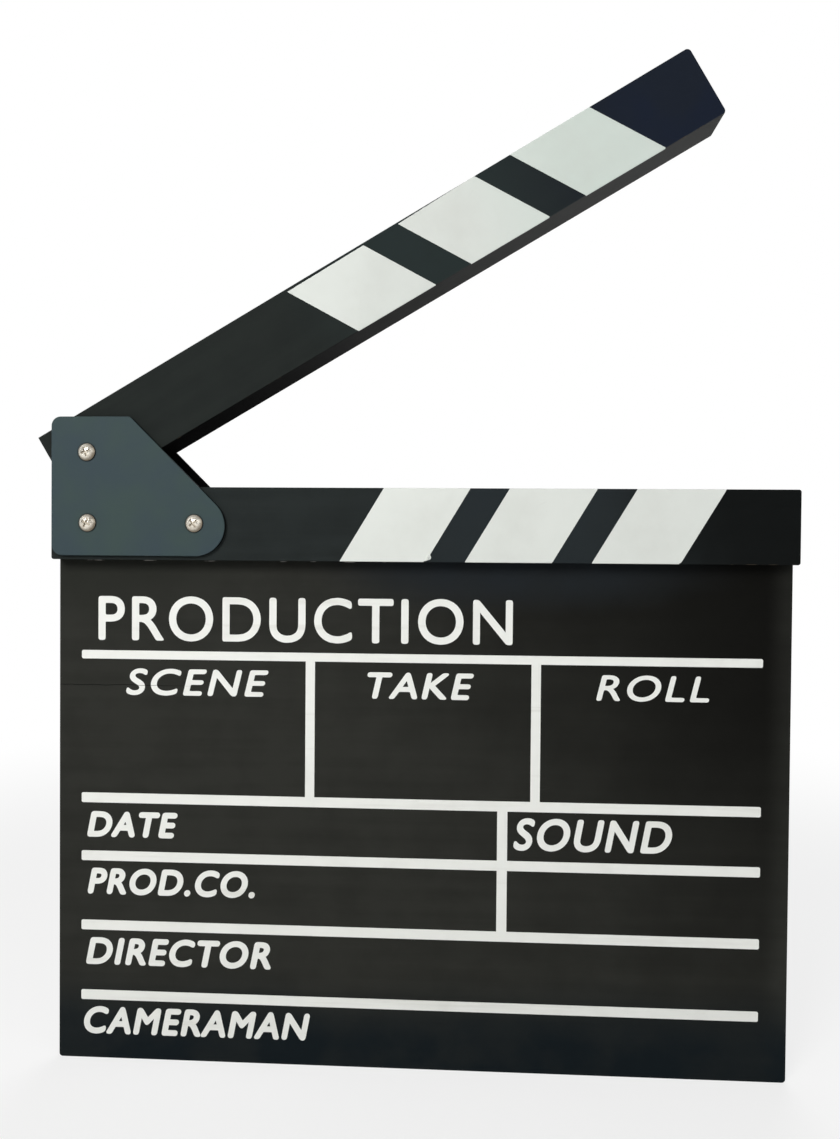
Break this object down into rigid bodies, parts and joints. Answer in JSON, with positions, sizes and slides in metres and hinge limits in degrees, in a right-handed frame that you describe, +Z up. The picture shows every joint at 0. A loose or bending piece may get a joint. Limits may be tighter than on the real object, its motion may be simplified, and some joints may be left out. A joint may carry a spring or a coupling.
{
  "type": "clapperboard",
  "caption": "Film clapperboard: ruled black board under a wooden bar, with a striped clap stick hinged between plates at the bar's left end, standing open.",
  "frame": {"origin": "middle of the board's bottom edge, half way through its thickness", "axes": "+X to the right seen from the front, -Y towards the reader of the board, +Z up along the board"},
  "size_m": [0.3058, 0.026, 0.4108],
  "materials": {
    "painted_board": "matt black paint on thin fibreboard",
    "painted_wood": "matt black paint on planed hardwood",
    "hinge_plate": "satin blue-grey powder coat",
    "nickel": "bright nickel plate",
    "nylon": "natural nylon",
    "white_film": "satin white self-adhesive film",
    "white_print": "white screen-printed ink"
  },
  "bodies": {
    "slate": {"slate_board": "painted_board", "fixed_bar": "painted_wood", "front_hinge_plate": "hinge_plate", "rear_hinge_plate": "hinge_plate", "pivot_screw": "nickel", "pivot_post": "nickel", "anchor_screw_left": "nickel", "anchor_post_left": "nickel", "anchor_screw_right": "nickel", "anchor_post_right": "nickel", "front_pivot_washer": "nylon", "rear_pivot_washer": "nylon", "bar_stripe_1": "white_film", "bar_stripe_2": "white_film", "bar_stripe_3": "white_film", "printed_rules": "white_print"},
    "stick": {"clap_stick": "painted_wood", "stick_stripe_1": "white_film", "stick_stripe_2": "white_film", "stick_stripe_3": "white_film"}
  },
  "joints": [
    {"name": "stick_hinge", "type": "hinge", "parent": "slate", "child": "stick", "pos_m": [-0.1343, 0, 0.2528], "axis": [0, -1, 0], "range_deg": [-30.4, 39.6]}
  ]
}
